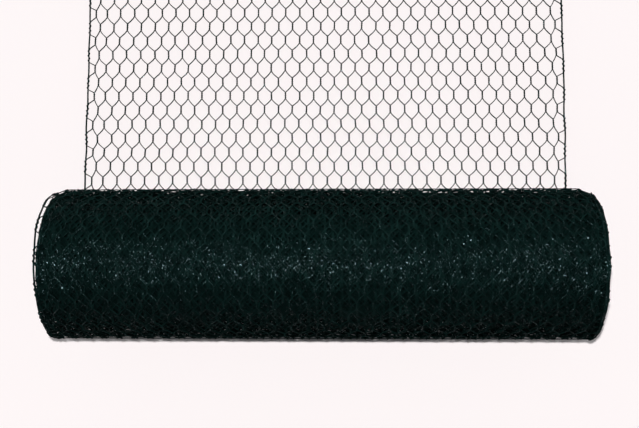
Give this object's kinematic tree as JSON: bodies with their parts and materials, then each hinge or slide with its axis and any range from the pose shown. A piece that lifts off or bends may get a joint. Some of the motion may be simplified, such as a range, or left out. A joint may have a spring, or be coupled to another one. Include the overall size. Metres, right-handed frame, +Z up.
{
  "type": "roll of chicken wire",
  "caption": "Roll of green coated hexagonal wire netting lying on its side, with an open bore and its last stretch unrolled flat on the floor.",
  "frame": {"origin": "centre of the bounding box's bottom face, on the floor that the coil and its tail lie on", "axes": "+X along the coil's axis, across the netting; +Y towards the free end of the tail; +Z up"},
  "size_m": [0.9, 0.6733, 0.258],
  "materials": {
    "coated_wire": "steel wire under a smooth, glossy, very dark green PVC coat"
  },
  "bodies": {
    "root": {"coil": "coated_wire", "tail_1": "coated_wire", "tail_2": "coated_wire"}
  },
  "joints": []
}
